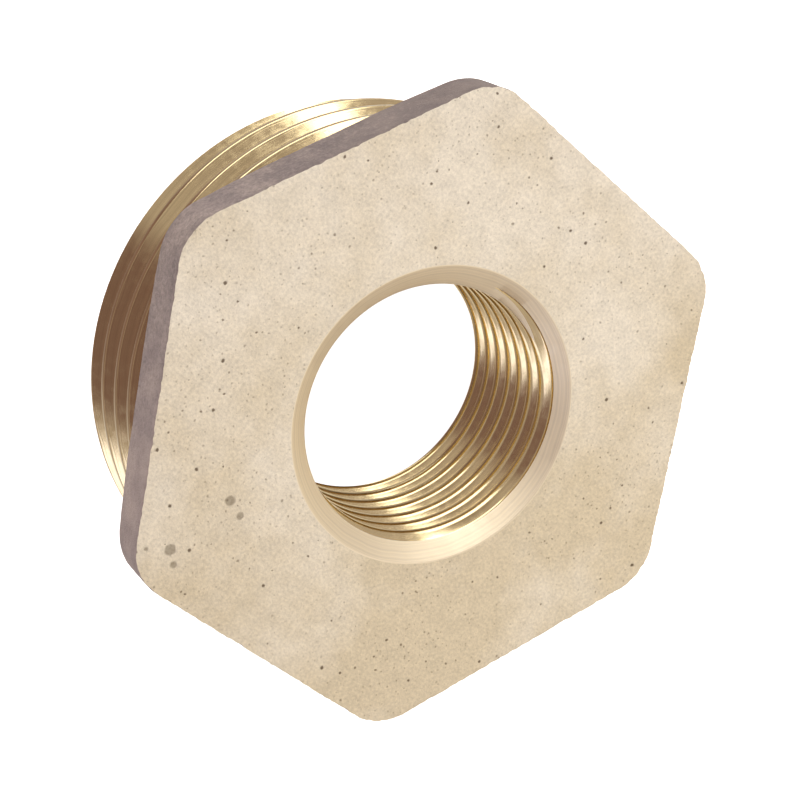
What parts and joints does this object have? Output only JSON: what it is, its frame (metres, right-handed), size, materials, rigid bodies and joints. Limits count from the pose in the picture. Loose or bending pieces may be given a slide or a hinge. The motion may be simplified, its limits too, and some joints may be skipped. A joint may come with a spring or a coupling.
{
  "type": "hex bushing",
  "caption": "Reducing pipe bushing in brass: a flat hexagonal head with a threaded bore, on a short threaded male shank.",
  "frame": {"origin": "centre of the male end's face, on the bore's axis, where the part stands", "axes": "+Z along the bore, from the male end to the hexagonal head; +X through a corner of the hexagon"},
  "size_m": [0.0388, 0.0346, 0.0146],
  "materials": {
    "brass": "satin machined face and threads, rough cast hexagon sides"
  },
  "bodies": {
    "root": {"hex_bushing": "brass"}
  },
  "joints": []
}
